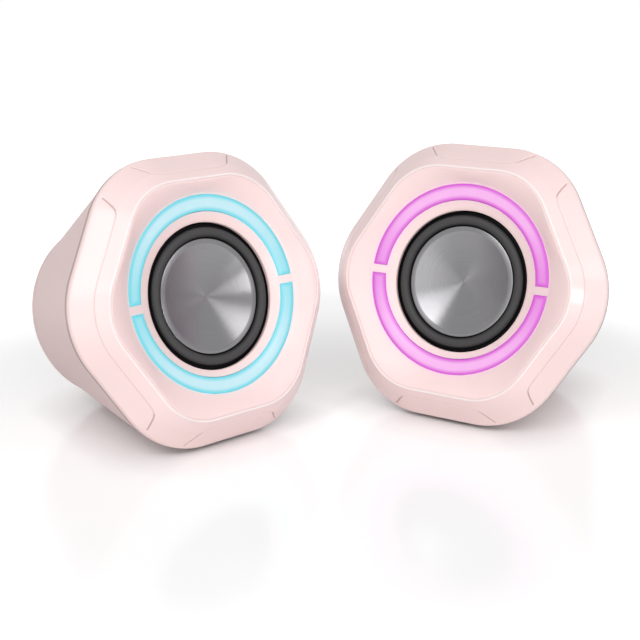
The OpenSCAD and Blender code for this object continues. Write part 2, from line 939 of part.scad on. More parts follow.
lead_r = 1.1;
module driver_lead(end_at, end_depth) {
    outside = -magnet_r - 4;
    start = driver_rise - terminal_r;
    bend = 3;
    color(rubber_black)
        lead([
            [0, start, terminal_h / 2 - basket_back],
            [0, start - bend / 2, terminal_h / 2 - basket_back],
            [0, outside + bend / 4, -basket_back - bend / 2],
            [0, outside, -magnet_front],
            [0, outside, -yoke_front],
            [0, outside + bend / 3, -yoke_back - bend],
            [0, (outside + end_at) / 2, (-yoke_back - end_depth) / 2],
            [0, end_at - bend / 3, 2 * bend - end_depth],
            [0, end_at, bend - end_depth],
            [0, end_at, -end_depth]
        ], lead_r);
}

module amp_board() {
    color(board_green)
        difference() {
            disc(board_r, amp_board_back - amp_board_t, amp_board_back);
            for (at = board_posts)
                translate([at[0], at[1], 0])
                    disc(post_pin_r + screw_clearance, 0, depth);
        }
}

// The volume control's body and bushing
bushing_proud = 1.6;
module volume_pot() {
    body = 9.6;
    bore_depth = 4;
    color(steel_grey)
        translate([knob_at[0], knob_at[1], 0])
            difference() {
                union() {
                    translate([-body / 2, -body / 2, -panel_back])
                        cube([body, body, board_space]);
                    disc(bushing_r, panel_back - over, depth + bushing_proud);
                }
                disc(shaft_r + shaft_clearance, panel_back - bore_depth, depth + bushing_proud + over);
            }
}

knob_cap = 1.5;
module volume_shaft() {
    length_in = 3.6;
    color(steel_grey)
        translate([knob_at[0], knob_at[1], 0])
            disc(shaft_r, panel_back - length_in, depth + knob_h - knob_cap);
}

// The knob clears the bushing, grips the shaft and has a ribbed side and a pointer groove
module volume_knob() {
    front = depth + 0.5;
    back = depth + knob_h;
    chamfer = 1;
    bushing_gap = 0.6;
    ribs = 24;
    rib_r = 0.7;
    pointer_w = 0.8;
    color(shell_pink)
        translate([knob_at[0], knob_at[1], 0])
            difference() {
                union() {
                    disc(knob_r, front, back - chamfer);
                    translate([0, 0, -back])
                        cylinder(r1 = knob_r - chamfer, r2 = knob_r, h = chamfer);
                }
                disc(shaft_r, front - over, back - knob_cap);
                disc(bushing_r + bushing_gap, front - over, depth + bushing_proud + bushing_gap);
                round_the_axis(ribs, knob_r + rib_r / 2, 180 / ribs)
                    disc(rib_r, front - over, back - 2 * chamfer);
                translate([-pointer_w / 2, knob_r * 0.45, -back - over])
                    cube([pointer_w, knob_r * 0.4, over + pointer_w / 2]);
            }
}

// A push button with a flange behind the panel and a stem over its switch
module push_button(at) {
    flange_back = panel_back - press_gap;
    flange_t = 1.1;
    flange_w = 0.9;
    stem_r = 1.2;
    stem_front = amp_board_back + switch_h + plunger_h + button_travel + press_gap;
    color(paint_black)
        translate([at[0], at[1], 0]) {
            disc(button_r, flange_back - flange_t, depth + button_proud);
            disc(button_r + flange_w, flange_back - flange_t, flange_back);
            disc(stem_r, stem_front, flange_back - flange_t / 2);
        }
}

module button_switches() {
    switch_w = 6;
    plunger_r = 1.7;
    color(paint_black)
        for (at = [light_button_at, source_button_at])
            translate([at[0], at[1], 0]) {
                translate([-switch_w / 2, -switch_w / 2, -amp_board_back - switch_h])
                    cube([switch_w, switch_w, switch_h]);
                disc(plunger_r, amp_board_back, amp_board_back + switch_h + plunger_h);
            }
}

// The power socket: a long shell with a tongue inside
module power_inlet() {
    mouth = 6.4;
    tongue = [6.6, 0.7, 5];
    color(steel_grey)
        translate([power_at[0], power_at[1], -depth])
            difference() {
                linear_extrude(depth - amp_board_back)
                    long_hole(power_w, power_h);
                difference() {
                    translate([0, 0, -over])
                        linear_extrude(mouth + over)
                            long_hole(power_w - 2 * power_wall, power_h - 2 * power_wall);
                    translate([-tongue[0] / 2, -tongue[1] / 2, mouth - tongue[2]])
                        cube([tongue[0], tongue[1], tongue[2] + over]);
                }
            }
}

stand(left) rim();  // left_rim
stand(left) front_panel();  // left_front_panel
stand(left) light_guide(true, cyan_light);  // left_upper_light_guide
stand(left) light_guide(false, cyan_light);  // left_lower_light_guide
stand(left) light_board();  // left_light_board
stand(left) driver_gasket();  // left_driver_gasket
stand(left) surround();  // left_surround
stand(left) cone();  // left_cone
stand(left) voice_coil();  // left_voice_coil
stand(left) spider();  // left_spider
stand(left) basket();  // left_basket
stand(left) top_plate();  // left_top_plate
stand(left) magnet();  // left_magnet
stand(left) yoke();  // left_yoke
stand(left) driver_screws();  // left_driver_screws
stand(left) case_screws();  // left_case_screws
stand(left) rear_shell();  // left_rear_shell
stand(left) left_panel();  // left_rear_panel
stand(left) rear_screws();  // left_rear_screws
stand(left) feet();  // left_feet
stand(left) socket(left_link_at, left_socket_front);  // left_link_jack
stand(left) driver_lead(left_link_at[1], left_socket_front);  // left_driver_lead
stand(right) rim();  // right_rim
stand(right) front_panel();  // right_front_panel
stand(right) light_guide(true, magenta_light);  // right_upper_light_guide
stand(right) light_guide(false, magenta_light);  // right_lower_light_guide
stand(right) light_board();  // right_light_board
stand(right) driver_gasket();  // right_driver_gasket
stand(right) surround();  // right_surround
stand(right) cone();  // right_cone
stand(right) voice_coil();  // right_voice_coil
stand(right) spider();  // right_spider
stand(right) basket();  // right_basket
stand(right) top_plate();  // right_top_plate
stand(right) magnet();  // right_magnet
stand(right) yoke();  // right_yoke
stand(right) driver_screws();  // right_driver_screws
stand(right) case_screws();  // right_case_screws
stand(right) rear_shell();  // right_rear_shell
stand(right) right_panel();  // right_rear_panel
stand(right) rear_screws();  // right_rear_screws
stand(right) feet();  // right_feet
stand(right) socket(link_at, amp_board_back);  // right_link_jack
stand(right) driver_lead(lead_end_at[1], amp_board_back - amp_board_t);  // right_driver_lead
stand(right) amp_board();
stand(right) volume_pot();
stand(right) volume_shaft();
stand(right) volume_knob();
stand(right) push_button(light_button_at);  // light_button
stand(right) push_button(source_button_at);  // source_button
stand(right) button_switches();
stand(right) power_inlet();
stand(right) socket(aux_at, amp_board_back);  // aux_jack
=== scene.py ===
# The looks of a pair of pink hexagonal desktop speakers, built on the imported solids.
import json
import math

import bmesh
import bpy
import numpy as np
from mathutils import Matrix, Vector
from mathutils.kdtree import KDTree


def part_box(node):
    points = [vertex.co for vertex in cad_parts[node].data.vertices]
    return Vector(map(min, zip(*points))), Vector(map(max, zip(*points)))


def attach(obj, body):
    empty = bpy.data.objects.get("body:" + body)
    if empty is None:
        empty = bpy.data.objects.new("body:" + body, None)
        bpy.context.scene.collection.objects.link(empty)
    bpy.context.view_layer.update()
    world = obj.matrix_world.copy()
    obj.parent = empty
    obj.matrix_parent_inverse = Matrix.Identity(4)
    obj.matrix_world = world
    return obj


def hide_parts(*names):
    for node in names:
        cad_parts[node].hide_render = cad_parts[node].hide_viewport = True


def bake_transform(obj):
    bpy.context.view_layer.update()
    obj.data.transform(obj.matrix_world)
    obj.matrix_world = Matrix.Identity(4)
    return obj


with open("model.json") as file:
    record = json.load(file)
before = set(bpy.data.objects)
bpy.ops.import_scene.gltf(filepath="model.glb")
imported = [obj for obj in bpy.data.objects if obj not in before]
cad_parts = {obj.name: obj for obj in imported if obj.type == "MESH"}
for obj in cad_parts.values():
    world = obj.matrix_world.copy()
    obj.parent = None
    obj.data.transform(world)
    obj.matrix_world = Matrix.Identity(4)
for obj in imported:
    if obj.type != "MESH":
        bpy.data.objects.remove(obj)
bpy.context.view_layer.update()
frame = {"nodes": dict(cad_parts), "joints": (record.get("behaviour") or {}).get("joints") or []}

scene = bpy.context.scene
scene.view_settings.view_transform = "Standard"

# Camera
# The photograph's viewpoint: a little to the left of the gap between the speakers, looking down at the pair through
# a lens somewhat longer than normal.
MM = 0.001
CAMERA_AT = Vector((-50.2, -510.6, 188.3)) * MM
CAMERA_PITCH = math.radians(90 - 16.279)
CAMERA_TURN = math.radians(-5.038)
LENS, SENSOR_W = 70.28, 36

camera = bpy.data.objects.new("camera", bpy.data.cameras.new("camera"))
camera.data.lens = LENS
camera.data.sensor_width = SENSOR_W
camera.location = CAMERA_AT
camera.rotation_euler = (CAMERA_PITCH, 0, CAMERA_TURN)
scene.collection.objects.link(camera)
scene.camera = camera

# Floor and light
# A white sheet that keeps the soft shadow, in a room that is white for the camera and for reflections. A wide soft box
# hangs high in front, with a key on each side, a low box on the left, and two small boxes whose glints show on the
# bevels. The sheet is lifted towards white, less so near the speakers, which paints shade round them, and hardly
# where they stand on it, which paints a contact shadow.
WHITE = (1, 1, 1, 1)
FLOOR_HALF = 4.0
SHEET, SHEET_ROUGH = (0.82, 0.82, 0.82, 1), 0.16
LIFT_START, LIFT_END = 0.16, 0.3
LIFT_NEAR, LIFT_FAR = 0.33, 0.75
CONTACT_REACH, CONTACT_SAMPLES = 0.022, 8
AMBIENT = 0.28
AIM = Vector((0, 0, 0.05))
# Each with its place, its width and height in metres, and its power in watts.
SOFT_BOXES = (
    ("high_box", (0.0, -1.3, 1.2), (1.4, 0.5), 7.5),
    ("left_key", (-0.83, -0.96, 0.88), (0.45, 0.45), 3.2),
    ("right_key", (1.07, -0.83, 0.87), (0.5, 0.5), 3.3),
    ("low_box", (-0.85, -1.35, 0.4), (0.7, 0.7), 2.8),
    ("left_glint", (-0.7, -0.78, 1.16), (0.3, 0.4), 2.6),
    ("right_glint", (0.96, -1.376, 0.3), (0.18, 0.42), 4.6),
)


def feed(node, inputs):
    """Gives a shader node's inputs their values, or the outputs that they follow."""
    for name, value in inputs.items():
        if isinstance(value, bpy.types.NodeSocket):
            node.id_data.links.new(value, node.inputs[name])
        else:
            node.inputs[name].default_value = value


def add_node(tree, kind, inputs=None, **settings):
    """A new shader node with its settings and inputs."""
    node = tree.nodes.new("ShaderNode" + kind)
    for name, value in settings.items():
        setattr(node, name, value)
    feed(node, inputs or {})
    return node


def math_node(tree, operation, first, second):
    return add_node(tree, "Math", {0: first, 1: second}, operation=operation).outputs[0]


def smooth_range(tree, value, start, end, low=0, high=1):
    """Goes smoothly from low to high while the value goes from start to end."""
    limits = {"From Min": start, "From Max": end, "To Min": low, "To Max": high}
    return add_node(tree, "MapRange", {"Value": value, **limits}, interpolation_type="SMOOTHSTEP").outputs[0]


def even_range(tree, value, low, high):
    """Goes evenly from low to high while the value goes from 0 to 1."""
    return add_node(tree, "MapRange", {"Value": value, "To Min": low, "To Max": high}).outputs[0]


def object_place(tree):
    return add_node(tree, "TexCoord").outputs["Object"]


def camera_like_rays(tree):
    """One for the rays that should see plain white: camera, mirror and see-through rays."""
    rays = add_node(tree, "LightPath").outputs
    first = math_node(tree, "MAXIMUM", rays["Is Camera Ray"], rays["Is Glossy Ray"])
    return math_node(tree, "MAXIMUM", first, rays["Is Transmission Ray"])


def shader_of(material):
    return material.node_tree.nodes["Principled BSDF"]


def new_material(name):
    material = bpy.data.materials.new(name)
    material.use_nodes = True
    return material


room = bpy.data.worlds.new("white_room")
scene.world = room
room.use_nodes = True
strength = even_range(room.node_tree, camera_like_rays(room.node_tree), AMBIENT, 1)
feed(room.node_tree.nodes["Background"], {"Color": WHITE, "Strength": strength})


def sheet_material():
    """White paper that shines a little where the camera or a mirror sees it, and paints shade near the speakers."""
    material = new_material("white_sheet")
    tree = material.node_tree
    from_middle = add_node(tree, "VectorMath", {0: object_place(tree)}, operation="LENGTH").outputs["Value"]
    # Less lift near the speakers paints shade round them.
    lift = smooth_range(tree, from_middle, LIFT_START, LIFT_END, LIFT_NEAR, LIFT_FAR)
    # The lift is cut where the speakers shut the room out, which paints a contact shadow under them.
    open_sky = add_node(tree, "AmbientOcclusion", {"Distance": CONTACT_REACH}, samples=CONTACT_SAMPLES)
    lift = math_node(tree, "MULTIPLY", lift, open_sky.outputs["AO"])
    shown = math_node(tree, "MULTIPLY", lift, camera_like_rays(tree))
    sheet = {"Base Color": SHEET, "Roughness": SHEET_ROUGH}
    feed(shader_of(material), {**sheet, "Emission Color": WHITE, "Emission Strength": shown})
    return material


floor_mesh = bpy.data.meshes.new("floor")
floor_corners = [(x * FLOOR_HALF, y * FLOOR_HALF, 0) for x, y in ((-1, -1), (1, -1), (1, 1), (-1, 1))]
floor_mesh.from_pydata(floor_corners, [], [(0, 1, 2, 3)])
floor_mesh.materials.append(sheet_material())
floor = bpy.data.objects.new("floor", floor_mesh)
scene.collection.objects.link(floor)

for name, at, (wide, high), power in SOFT_BOXES:
    lamp = bpy.data.lights.new(name, "AREA")
    lamp.shape = "RECTANGLE"
    lamp.size, lamp.size_y = wide, high
    lamp.energy = power
    box = bpy.data.objects.new(name, lamp)
    box.location = at
    box.rotation_euler = (AIM - Vector(at)).to_track_quat("-Z", "Y").to_euler()
    scene.collection.objects.link(box)

# Places of the speakers
# Each speaker's pieces are drawn in its own frame, in millimetres: x to the right, y up the face and z out of it,
# from the middle of the rim's front edge. The driver's axis and its gasket give that frame.
SIDES = ("left", "right")
GASKET_MID_DEPTH = 8.0
DRIVER_RISE = 0.4


def speaker_place(side):
    """The frame of a speaker's face, as a matrix."""
    axis = next(j["axis"] for j in frame["joints"] if j["name"] == side + "_cone_travel")
    out = Vector(axis).normalized()
    right = Vector((-out.y, out.x, 0)).normalized()
    up = out.cross(right)
    low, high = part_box(side + "_driver_gasket")
    origin = (low + high) / 2 + (out * GASKET_MID_DEPTH - up * DRIVER_RISE) * MM
    return Matrix.Translation(origin) @ Matrix((right, up, out)).transposed().to_4x4()


PLACE = {side: speaker_place(side) for side in SIDES}

# Rims
# The bevelled hexagonal frame of each speaker, moulded in pink plastic with hairline joints cut into the bevel. It is
# lofted through rounded hexagons, and the joints are pressed into its surface.
RIM_HALF, FRONT_HALF, POCKET_HALF, SOCKET_HALF = 57.37, 46.9, 46.2, 54.9
RIM_INSET, FRONT_INSET = 22.1, 21.7
BEVEL_DEPTH, RIM_DEPTH = 11.5, 14.7
BAFFLE_FRONT, BAFFLE_BACK, BAFFLE_HOLE_R = 10.0, 12.8, 30.6
POCKET_EDGE_R, FRONT_EDGE_R, OUTER_EDGE_R, BACK_EDGE_R, SOCKET_EDGE_R = 0.2, 0.25, 0.9, 0.45, 0.1
# A rounded edge is drawn in EDGE_STEPS steps and takes at most EDGE_SHARE of the face on each side.
EDGE_STEPS, EDGE_SHARE = 4, 0.45
# Rows of the bevel, as first share, last share and count: they lie closest where the joints run.
BEVEL_BANDS = ((0.05, 0.2, 5), (0.22, 0.5, 34), (0.53, 0.92, 16))
# Columns round the rim, in degrees: they lie closest where the joints turn outwards.
JOINT_TURNS, TURN_REACH, FINE_COLUMN, COLUMN = (0, 49, 70, 110, 131, 180), 4, 0.25, 1.0
FOLD_SHARE, FOLD_H = 0.37, 0.35
# The joints are faint along the fold and cut to their full depth within END_SHARE of it. Their ends, from the bevel's
# outside in, are given as an angle in degrees and a share of the bevel from its front edge.
JOINT_W, JOINT_DEPTH, WING_FAINT, CAP_FAINT, END_SHARE = 0.4, 0.5, 0.35, 0.15, 0.12
WING_END = [(49.6, 0.88), (49, 0.75), (48.3, 0.62), (47.6, 0.51), (46.6, 0.43), (45.2, 0.385), (43.5, 0.37)]
CAP_END = [(67.3, 0.9), (69.3, 0.6), (70.2, 0.47), (71.2, 0.39), (72.8, 0.32), (75, 0.28)]
JOINT_POINTS_A_DEGREE, JOINT_POINTS_A_BEVEL = 6, 120
# They are cut only where the surface leans to the front.
FRONT_LEAN = 0.2


def hex_reach(angles, half, inset):
    """Distance from the centre to a rounded hexagon with a flat top, at each angle."""
    turn = np.mod(angles, math.pi / 3) - math.pi / 6
    off = math.pi / 6 - np.abs(turn)
    corner_r = half - inset
    reach = inset / math.cos(math.pi / 6)
    arc = reach * np.cos(off) + np.sqrt(np.maximum(corner_r**2 - (reach * np.sin(off)) ** 2, 0))
    on_flat = half * np.abs(np.tan(turn)) <= inset * math.tan(math.pi / 6)
    return np.where(on_flat, half / np.cos(turn), arc)


def ring(angles, half, inset, z, rise=0):
    """Points of a rounded hexagon, or of a circle where inset is 0."""
    reach = hex_reach(angles, half, inset)
    return np.stack([reach * np.cos(angles), reach * np.sin(angles) + rise, np.full_like(angles, z)], axis=-1)


def eased(profile):
    """A profile of (half, inset, z, rise, radius) points with each corner rounded by its radius."""
    points = np.array(profile, float)
    radii, points = points[:, 4], points[:, :4]
    count = len(points)
    out = []
    for i, corner in enumerate(points):
        if radii[i] == 0:
            out.append(corner)
            continue
        before, after = points[i - 1] - corner, points[(i + 1) % count] - corner
        start = corner + before * min(radii[i] / np.hypot(before[0], before[2]), EDGE_SHARE)
        end = corner + after * min(radii[i] / np.hypot(after[0], after[2]), EDGE_SHARE)
        for s in np.linspace(0, 1, EDGE_STEPS + 1):
            out.append((1 - s) ** 2 * start + 2 * s * (1 - s) * corner + s * s * end)
    return out


def loft(name, rows, closed=False, skip=None, extra=()):
    """A mesh through rings of points.

    closed joins the last ring to the first, skip says which faces are left out, and extra holds faces to add.
    """
    rows = np.asarray(rows)
    count, width = rows.shape[:2]
    faces = []
    for r in range(count if closed else count - 1):
        a, b = r * width, (r + 1) % count * width
        for i in range(width):
            if skip is None or not skip(r, i):
                j = (i + 1) % width
                faces.append((a + i, a + j, b + j, b + i))
    mesh = bpy.data.meshes.new(name)
    mesh.from_pydata((rows.reshape(-1, 3) * MM).tolist(), [], [*faces, *extra])
    return mesh


def outward(mesh):
    """Turns the faces of a closed mesh to the outside."""
    work = bmesh.new()
    work.from_mesh(mesh)
    bmesh.ops.recalc_face_normals(work, faces=work.faces)
    work.to_mesh(mesh)
    work.free()


def add_piece(mesh, side, material, node):
    """Puts a mesh in its speaker, keeping its own coordinates for the materials, in place of a CAD node."""
    own = mesh.attributes.new("own", "FLOAT_VECTOR", "POINT")
    points = np.empty(len(mesh.vertices) * 3, np.float32)
    mesh.vertices.foreach_get("co", points)
    own.data.foreach_set("vector", points)
    mesh.transform(PLACE[side])
    mesh.shade_smooth()
    mesh.materials.append(material)
    piece = bpy.data.objects.new(mesh.name, mesh)
    scene.collection.objects.link(piece)
    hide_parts(node)
    return piece


def mixed(tree, factor, first, second):
    """The first colour where the factor is 0 and the second where it is 1."""
    return add_node(tree, "Mix", {"Factor": factor, "A": first, "B": second}, data_type="RGBA").outputs["Result"]


CLOUD_DETAIL, GRAIN_DETAIL, GRAIN_H = 3, 2, 0.02


def grain_group():
    """Fine mould grain: two tints in soft clouds, a roughness that wanders, and a height."""
    group = bpy.data.node_groups.new("moulded_grain", "ShaderNodeTree")
    numbers = dict.fromkeys(("Cloud Scale", "Grain Scale", "Rough Low", "Rough High"), "Float")
    inputs = {"Tint": "Color", "Cloud Tint": "Color", **numbers}
    outputs = {"Color": "Color", "Roughness": "Float", "Height": "Float"}
    for way, sockets in (("INPUT", inputs), ("OUTPUT", outputs)):
        for name, kind in sockets.items():
            group.interface.new_socket(name=name, in_out=way, socket_type="NodeSocket" + kind)
    given = group.nodes.new("NodeGroupInput").outputs
    place = object_place(group)
    cloud_noise = {"Vector": place, "Scale": given["Cloud Scale"], "Detail": CLOUD_DETAIL}
    clouds = add_node(group, "TexNoise", cloud_noise).outputs["Fac"]
    grain_noise = {"Vector": place, "Scale": given["Grain Scale"], "Detail": GRAIN_DETAIL}
    grain = add_node(group, "TexNoise", grain_noise).outputs["Fac"]
    color = mixed(group, clouds, given["Tint"], given["Cloud Tint"])
    rough = even_range(group, grain, given["Rough Low"], given["Rough High"])
    feed(group.nodes.new("NodeGroupOutput"), {"Color": color, "Roughness": rough, "Height": grain})
    return group


GRAIN = grain_group()


def grained(name, tint, cloud_tint, clouds, grain, rough, bump):
    """A material with mould grain, for plastics, rubber, cast pieces and cloth."""
    material = new_material(name)
    tree = material.node_tree
    tints = {"Tint": (*tint, 1), "Cloud Tint": (*cloud_tint, 1)}
    scales = {"Cloud Scale": clouds, "Grain Scale": grain, "Rough Low": rough[0], "Rough High": rough[1]}
    made = add_node(tree, "Group", {**tints, **scales}, node_tree=GRAIN).outputs
    height = {"Strength": bump, "Distance": GRAIN_H * MM, "Height": made["Height"]}
    normal = add_node(tree, "Bump", height).outputs["Normal"]
    feed(shader_of(material), {"Base Color": made["Color"], "Roughness": made["Roughness"], "Normal": normal})
    return material


def tinted(material, mask, tint):
    """Mixes a tint into a material's colour where the mask is 1."""
    shader = shader_of(material)
    plain = shader.inputs["Base Color"].links[0].from_socket
    feed(shader, {"Base Color": mixed(material.node_tree, mask, plain, (*tint, 1))})


def own_height(tree):
    """Height of a point in its speaker's frame, in metres."""
    own = add_node(tree, "Attribute", attribute_name="own")
    return add_node(tree, "SeparateXYZ", {0: own.outputs["Vector"]}).outputs["Z"]


pink_plastic = grained(
    "pink_plastic", (0.93, 0.715, 0.70), (0.95, 0.745, 0.73), clouds=25, grain=2600, rough=(0.3, 0.42), bump=0.25
)
feed(shader_of(pink_plastic), {"Specular IOR Level": 0.3, "Coat Weight": 0.05, "Coat Roughness": 0.15})

RIM_COAT = 0.35
# A painted highlight pales the rim's front edge between these depths.
EDGE_HIGHLIGHT_START, EDGE_HIGHLIGHT_END, EDGE_HIGHLIGHT_TINT = 0.35, 0.05, (0.97, 0.85, 0.84)
# Painted shade darkens the back of the rim's side wall, between these depths behind the bevel.
WALL_SHADE_START, WALL_SHADE_END, WALL_SHADE_TINT = 1.0, 1.9, (0.42, 0.29, 0.285)
JOINT_TINT = (0.5, 0.32, 0.32)


def rim_material():
    """Pink plastic shaded in the joints, with a painted highlight on the front edge and painted shade on the side
    wall.
    """
    material = pink_plastic.copy()
    material.name = "rim_plastic"
    tree = material.node_tree
    feed(shader_of(material), {"Coat Weight": RIM_COAT})
    height = own_height(tree)
    # Painted highlight along the front edge.
    painted_edge_highlight = smooth_range(tree, height, -EDGE_HIGHLIGHT_START * MM, -EDGE_HIGHLIGHT_END * MM)
    tinted(material, painted_edge_highlight, EDGE_HIGHLIGHT_TINT)
    # Painted shade on the side wall.
    wall = smooth_range(tree, height, -(BEVEL_DEPTH + WALL_SHADE_START) * MM, -(BEVEL_DEPTH + WALL_SHADE_END) * MM)
    tinted(material, wall, WALL_SHADE_TINT)
    joint = add_node(tree, "Attribute", attribute_name="joint")
    tinted(material, joint.outputs["Fac"], JOINT_TINT)
    return material


rim_plastic = rim_material()


def joint_lines():
    """The bevel's joints as close points: angle, share of the bevel from its front edge, and depth.

    The ends that turn outwards are cut deeper than the long stretches.
    """
    wing = [*WING_END, *[(-angle, share) for angle, share in WING_END[::-1]]]
    cap = [*CAP_END, *[(180 - angle, share) for angle, share in CAP_END[::-1]]]
    mirrored = [(180 - angle, share) for angle, share in wing]
    lower = [(-angle, share) for angle, share in cap]
    points = []
    for line, faint in ((wing, WING_FAINT), (mirrored, WING_FAINT), (cap, CAP_FAINT), (lower, CAP_FAINT)):
        for (a0, v0), (a1, v1) in zip(line, line[1:]):
            steps = int(max(abs(a1 - a0) * JOINT_POINTS_A_DEGREE, abs(v1 - v0) * JOINT_POINTS_A_BEVEL)) + 1
            out = (v0 + v1) / 2 - FOLD_SHARE
            deep = faint + (1 - faint) * min(max(out / END_SHARE, 0), 1)
            points += [(a0 + (a1 - a0) * s / steps, v0 + (v1 - v0) * s / steps, deep) for s in range(steps)]
    return points


def bevel_row(share):
    """A ring of the bevel, which is folded a little along the joints."""
    wide, deep = RIM_HALF - FRONT_HALF, BEVEL_DEPTH
    fold = FOLD_H * min(share / FOLD_SHARE, (1 - share) / (1 - FOLD_SHARE)) / math.hypot(wide, deep)
    half = FRONT_HALF + wide * share + deep * fold
    return half, FRONT_INSET + (RIM_INSET - FRONT_INSET) * share, -deep * share + wide * fold


def rim_columns():
    """Angles round the rim, close together where the joints turn outwards."""
    angles, angle = [], 0.0
    while angle < 360:
        angles.append(angle)
        from_turn = min(abs(angle % 180 - turn) for turn in JOINT_TURNS)
        angle += FINE_COLUMN if from_turn < TURN_REACH else COLUMN
    return np.radians(angles)


def cut_joints(mesh):
    """Presses the joints into the bevel, and keeps how deep each point lies in them for the material."""
    joints = joint_lines()
    finder = KDTree(len(joints))
    for i, (angle, share, _) in enumerate(joints):
        finder.insert(ring(np.radians([angle]), *bevel_row(share))[0], i)
    finder.balance()
    normals = [v.normal.copy() for v in mesh.vertices]
    cut = np.zeros(len(normals), np.float32)
    for i, (vertex, normal) in enumerate(zip(mesh.vertices, normals)):
        point = vertex.co / MM
        if point.z > -BEVEL_DEPTH and normal.z > FRONT_LEAN:
            _, nearest, distance = finder.find(point)
            if distance < JOINT_W:
                cut[i] = joints[nearest][2] * (1 - (distance / JOINT_W) ** 2) ** 2
                vertex.co = (point - normal * JOINT_DEPTH * cut[i]) * MM
    mesh.attributes.new("joint", "FLOAT", "POINT").data.foreach_set("value", cut)


def rim_mesh(name):
    """The rim with its baffle as one closed ring, from the pocket of the panel round to the driver's hole."""
    shares = np.concatenate([np.linspace(*band) for band in BEVEL_BANDS])
    profile = eased(
        [
            (POCKET_HALF, FRONT_INSET, -BAFFLE_FRONT, 0, 0),
            (POCKET_HALF, FRONT_INSET, 0, 0, POCKET_EDGE_R),
            (FRONT_HALF, FRONT_INSET, 0, 0, FRONT_EDGE_R),
            *[(*bevel_row(share), 0, 0) for share in shares],
            (RIM_HALF, RIM_INSET, -BEVEL_DEPTH, 0, OUTER_EDGE_R),
            (RIM_HALF, RIM_INSET, -RIM_DEPTH, 0, BACK_EDGE_R),
            (SOCKET_HALF, RIM_INSET, -RIM_DEPTH, 0, SOCKET_EDGE_R),
            (SOCKET_HALF, RIM_INSET, -BAFFLE_BACK, 0, 0),
            (BAFFLE_HOLE_R, 0, -BAFFLE_BACK, DRIVER_RISE, 0),
            (BAFFLE_HOLE_R, 0, -BAFFLE_FRONT, DRIVER_RISE, 0),
        ]
    )
    angles = rim_columns()
    mesh = loft(name, [ring(angles, *point) for point in profile], closed=True)
    outward(mesh)
    cut_joints(mesh)
    return mesh


for side in SIDES:
    rim = add_piece(rim_mesh(side + "_bevelled_rim"), side, rim_plastic, side + "_rim")
    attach(rim, "root")

# Front panels
# The dished panel inside each rim, in the same pink plastic: it eases from a hexagon at its edge to a circle round
# the light guides, and ends in a chamfered lip at the driver. Two crescent slots go through it, and the guides' light
# is painted into the plastic beside them as a glow.
PANEL_HALF, PANEL_EDGE, PANEL_WALL, PANEL_SKIRT = 46.17, 0.72, 1.8, 2.0
RING_OUT_R, RING_DEPTH, RING_RISE = 40.1, 3.4, 1.1
DISH_MID_DEPTH = 1.3
DISH_IN_R, DISH_IN_DEPTH = 28.3, 5.6
OPENING_R, LIP_R, LIP_DEPTH, MOUTH_DEPTH, HUB_BACK = 29.3, 30.2, 5.8, 6.3, 7.8
PANEL_EDGE_R, LIP_EDGE_R, CREASE = 0.3, 0.25, math.radians(50)
GUIDE_OUT_R, GUIDE_MID_W, GUIDE_END_W, GUIDE_END_GAP = 39.4, 6.7, 5.9, 3.4
ARC_STEPS, BRIDGE_STEPS = 120, 6
SLOPE_START, SLOPE_NEXT, SLOPE_ROWS, HUB_ROWS = 0.12, 0.16, 24, 8

CRESCENT_MID_R = GUIDE_OUT_R - GUIDE_MID_W
CRESCENT_END_R = GUIDE_OUT_R - GUIDE_END_W
CRESCENT_SHIFT = (CRESCENT_END_R**2 - CRESCENT_MID_R**2) / (2 * CRESCENT_MID_R)


def crescent_in_r(angles):
    """Inner radius of the crescents about the guides' centre."""
    across, along = np.abs(np.sin(angles)), np.cos(angles)
    big_r = CRESCENT_MID_R + CRESCENT_SHIFT
    return -CRESCENT_SHIFT * across + np.sqrt(big_r**2 - (CRESCENT_SHIFT * along) ** 2)


def dish_z(r):
    """Height of the dish inside the guides' circle."""
    return -RING_DEPTH - (DISH_IN_DEPTH - RING_DEPTH) * (RING_OUT_R - r) / (RING_OUT_R - DISH_IN_R)


def panel_columns(half):
    """Angles round the panel whose columns end at the ends of the slots."""
    gap = math.asin(GUIDE_END_GAP / 2 / half)
    arc = np.linspace(gap, math.pi - gap, ARC_STEPS + 1)
    bridge = np.linspace(math.pi - gap, math.pi + gap, BRIDGE_STEPS + 1)[1:-1]
    half_turn = np.concatenate([arc, bridge])
    return np.concatenate([half_turn, half_turn + math.pi])


def slope_row(share):
    """A ring of the slope, from the panel's edge to the circle outside the guides."""
    half = PANEL_HALF - PANEL_EDGE
    bow = 4 * DISH_MID_DEPTH - 2 * RING_DEPTH
    z = (-RING_DEPTH - bow) * share + bow * share**2
    return half + (RING_OUT_R - half) * share, FRONT_INSET * (1 - share), z, RING_RISE * share


